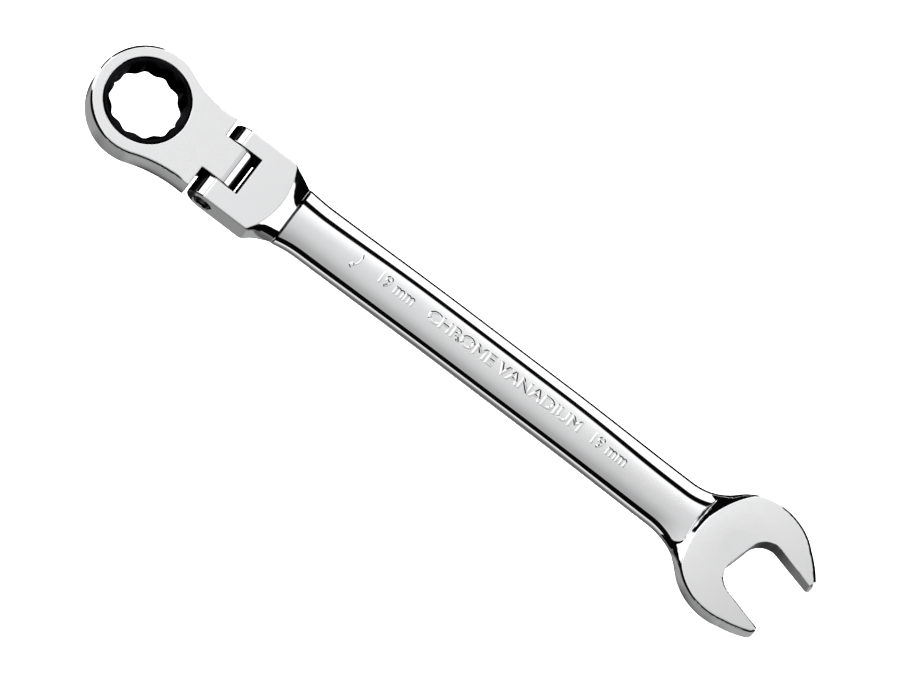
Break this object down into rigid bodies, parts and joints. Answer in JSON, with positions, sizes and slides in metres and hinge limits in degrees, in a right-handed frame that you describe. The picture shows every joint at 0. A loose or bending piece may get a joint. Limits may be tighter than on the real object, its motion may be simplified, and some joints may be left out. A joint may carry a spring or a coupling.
{
  "type": "ratchet wrench",
  "caption": "Flex-head combination ratchet wrench: a hinged twelve-point ratchet ring at one end and an angled open jaw at the other.",
  "frame": {"origin": "centre of the ratchet gear's twelve-point socket, at mid-thickness", "axes": "+X along the shank from the ratchet head to the open jaw, +Z out of the upper face, +Y across the shank; the open jaw is turned towards -Y"},
  "size_m": [0.2407, 0.0376, 0.0104],
  "materials": {
    "forged_chrome": "polished chrome plate, satin on the flat faces",
    "forged_chrome_head": "satin chrome plate with polished sides",
    "black_oxide_gear": "black oxide, lightly oiled",
    "spring_steel_ring": "dark phosphated spring steel",
    "pawl_steel": "ground tool steel",
    "spring_wire": "bright spring wire",
    "screw_steel": "blackened steel",
    "washer_steel": "bright spring steel"
  },
  "bodies": {
    "handle": {"handle": "forged_chrome", "pivot_screw": "screw_steel", "near_friction_washer": "washer_steel", "far_friction_washer": "washer_steel"},
    "head": {"ratchet_head": "forged_chrome_head", "gear_retaining_ring": "spring_steel_ring", "pawl_spring": "spring_wire"},
    "gear": {"ratchet_gear": "black_oxide_gear"},
    "pawl": {"pawl": "pawl_steel"}
  },
  "joints": [
    {"name": "flex", "type": "hinge", "parent": "handle", "child": "head", "pos_m": [0.0286, 0, 0], "axis": [0, 1, 0], "range_deg": [-90, 90]},
    {"name": "gear_turn", "type": "hinge", "parent": "head", "child": "gear", "pos_m": [0, 0, 0], "axis": [0, 0, 1], "continuous": true},
    {"name": "pawl_lift", "type": "slide", "parent": "head", "child": "pawl", "axis": [0.7071, 0.7071, 0], "range_m": [0, 0.0008], "stiffness_N_per_m": 400, "springref_m": -0.002, "deforming": ["pawl_spring"]}
  ]
}
